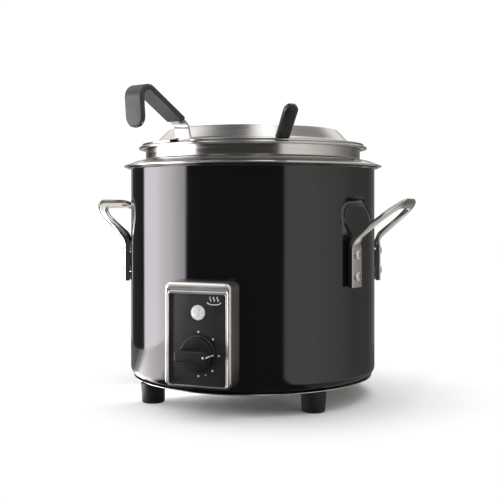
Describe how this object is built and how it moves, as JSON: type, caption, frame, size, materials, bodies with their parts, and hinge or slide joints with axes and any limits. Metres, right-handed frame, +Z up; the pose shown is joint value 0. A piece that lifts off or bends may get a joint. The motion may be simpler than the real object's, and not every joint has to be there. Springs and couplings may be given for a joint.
{
  "type": "soup kettle",
  "caption": "Round electric countertop soup kettle: black shell, lift-out steel inset, hinged lid with ladle notch, hooked ladle, side handles and control box.",
  "frame": {"origin": "centre of the base plate's flat underside, on the kettle's axis", "axes": "+Z up along the kettle's axis; the control box faces -Y; the handles are on +X and -X"},
  "size_m": [0.408, 0.3714, 0.3684],
  "materials": {
    "gloss_black_enamel": "gloss",
    "satin_stainless": "satin",
    "polished_stainless": "polished",
    "charcoal_panel": "matte",
    "black_plastic": "satin",
    "black_grip": "matte",
    "black_rubber": "matte",
    "white_mark": "matte",
    "clear_lens": "gloss",
    "brass": "satin",
    "mineral_wool": "matte",
    "heater_sheath": "matte",
    "lead_insulation": "matte"
  },
  "bodies": {
    "kettle": {"outer_shell": "gloss_black_enamel", "seam_ring": "satin_stainless", "base_plate": "satin_stainless", "water_pan": "satin_stainless", "insulation": "mineral_wool", "heater_element": "heater_sheath", "heater_plate": "satin_stainless", "heater_stud": "satin_stainless", "heater_nut": "satin_stainless", "thermostat_body": "black_plastic", "thermostat_nut": "satin_stainless", "thermostat_bulb": "brass", "capillary_tube": "brass", "lead_live": "lead_insulation", "lead_neutral": "lead_insulation", "control_housing": "polished_stainless", "bezel": "polished_stainless", "control_panel": "charcoal_panel", "pilot_lens": "clear_lens", "pilot_body": "black_plastic", "cord_gland": "black_plastic", "handle_left": "satin_stainless", "handle_right": "satin_stainless", "foot_1": "black_rubber", "foot_2": "black_rubber", "foot_3": "black_rubber", "foot_4": "black_rubber", "foot_screw_1": "satin_stainless", "foot_screw_2": "satin_stainless", "foot_screw_3": "satin_stainless", "foot_screw_4": "satin_stainless", "foot_nut_1": "satin_stainless", "foot_nut_2": "satin_stainless", "foot_nut_3": "satin_stainless", "foot_nut_4": "satin_stainless", "rivet_left_1": "polished_stainless", "rivet_left_2": "polished_stainless", "rivet_left_3": "polished_stainless", "rivet_left_4": "polished_stainless", "rivet_right_1": "polished_stainless", "rivet_right_2": "polished_stainless", "rivet_right_3": "polished_stainless", "rivet_right_4": "polished_stainless"},
    "inset": {"inset": "satin_stainless"},
    "lid": {"lid_rear": "satin_stainless", "hinge_leaf_rear": "satin_stainless", "hinge_pin": "satin_stainless"},
    "flap": {"lid_flap": "satin_stainless", "hinge_leaf_flap": "satin_stainless", "flap_lever": "satin_stainless", "lever_grip": "black_grip", "lever_rivet_1": "satin_stainless", "lever_rivet_2": "satin_stainless"},
    "ladle": {"ladle_handle": "satin_stainless", "ladle_grip": "black_grip", "ladle_bowl": "satin_stainless"},
    "knob": {"knob": "black_plastic", "knob_pointer": "white_mark", "thermostat_shaft": "brass"}
  },
  "joints": [
    {"name": "inset_lift", "type": "slide", "parent": "kettle", "child": "inset", "axis": [0, 0, 1], "range_m": [0, 0.22]},
    {"name": "lid_lift", "type": "slide", "parent": "inset", "child": "lid", "axis": [0, 0, 1], "range_m": [0, 0.15]},
    {"name": "flap_hinge", "type": "hinge", "parent": "lid", "child": "flap", "pos_m": [0, 0, 0.31165], "axis": [-0.8251, -0.565, 0], "range_deg": [0, 175]},
    {"name": "ladle_lift", "type": "slide", "parent": "inset", "child": "ladle", "axis": [-0.0811, -0.2635, 0.9613], "range_m": [0, 0.12]},
    {"name": "knob_turn", "type": "hinge", "parent": "kettle", "child": "knob", "pos_m": [0, -0.1717, 0.0504], "axis": [0, 1, 0], "range_deg": [-90, 90]}
  ]
}
